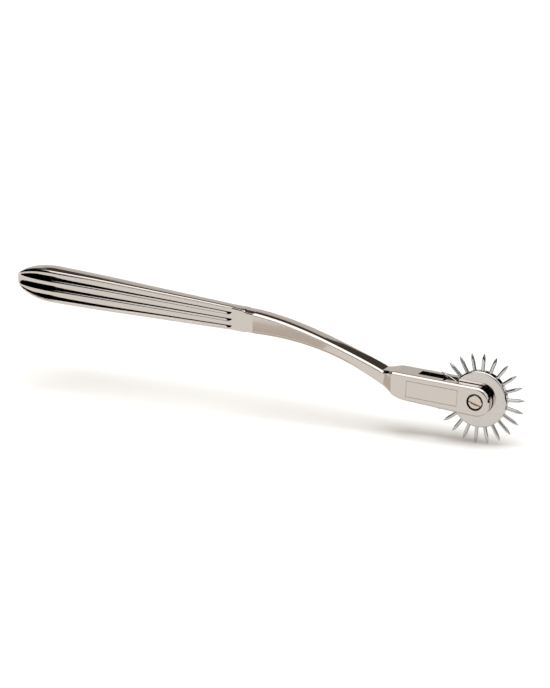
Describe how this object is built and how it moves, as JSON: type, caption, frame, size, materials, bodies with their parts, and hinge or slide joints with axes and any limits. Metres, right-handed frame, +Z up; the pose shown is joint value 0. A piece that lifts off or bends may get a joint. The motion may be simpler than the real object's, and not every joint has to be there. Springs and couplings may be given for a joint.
{
  "type": "neurological pinwheel",
  "caption": "Polished steel hand instrument: a fluted grip and a bent neck end in a slotted fork, where a small disc of sharp radial pins turns on a slotted screw.",
  "frame": {"origin": "middle of the fluted grip, on its centre line, where the hand holds it", "axes": "+X along the handle from the butt towards the wheel, +Y along the wheel's axle from the screw's head to its threaded end, +Z up with the wheel below the grip"},
  "size_m": [0.1841, 0.0098, 0.0425],
  "materials": {
    "forging_steel": "mirror-polished chromium plate on a drop-forged steel handle",
    "screw_steel": "turned steel with a fine ring grain, slightly warm in colour",
    "disc_steel": "polished chromium plate on a turned steel disc",
    "pin_steel": "ground and polished needle steel"
  },
  "bodies": {
    "handle": {"handle_forging": "forging_steel", "axle_screw": "screw_steel"},
    "wheel": {"wheel_disc": "disc_steel", "pin_01": "pin_steel", "pin_02": "pin_steel", "pin_03": "pin_steel", "pin_04": "pin_steel", "pin_05": "pin_steel", "pin_06": "pin_steel", "pin_07": "pin_steel", "pin_08": "pin_steel", "pin_09": "pin_steel", "pin_10": "pin_steel", "pin_11": "pin_steel", "pin_12": "pin_steel", "pin_13": "pin_steel", "pin_14": "pin_steel", "pin_15": "pin_steel", "pin_16": "pin_steel", "pin_17": "pin_steel", "pin_18": "pin_steel", "pin_19": "pin_steel", "pin_20": "pin_steel", "pin_21": "pin_steel", "pin_22": "pin_steel"}
  },
  "joints": [
    {"name": "wheel_spin", "type": "hinge", "parent": "handle", "child": "wheel", "pos_m": [0.125, 0, -0.0195], "axis": [0, 1, 0], "continuous": true}
  ]
}
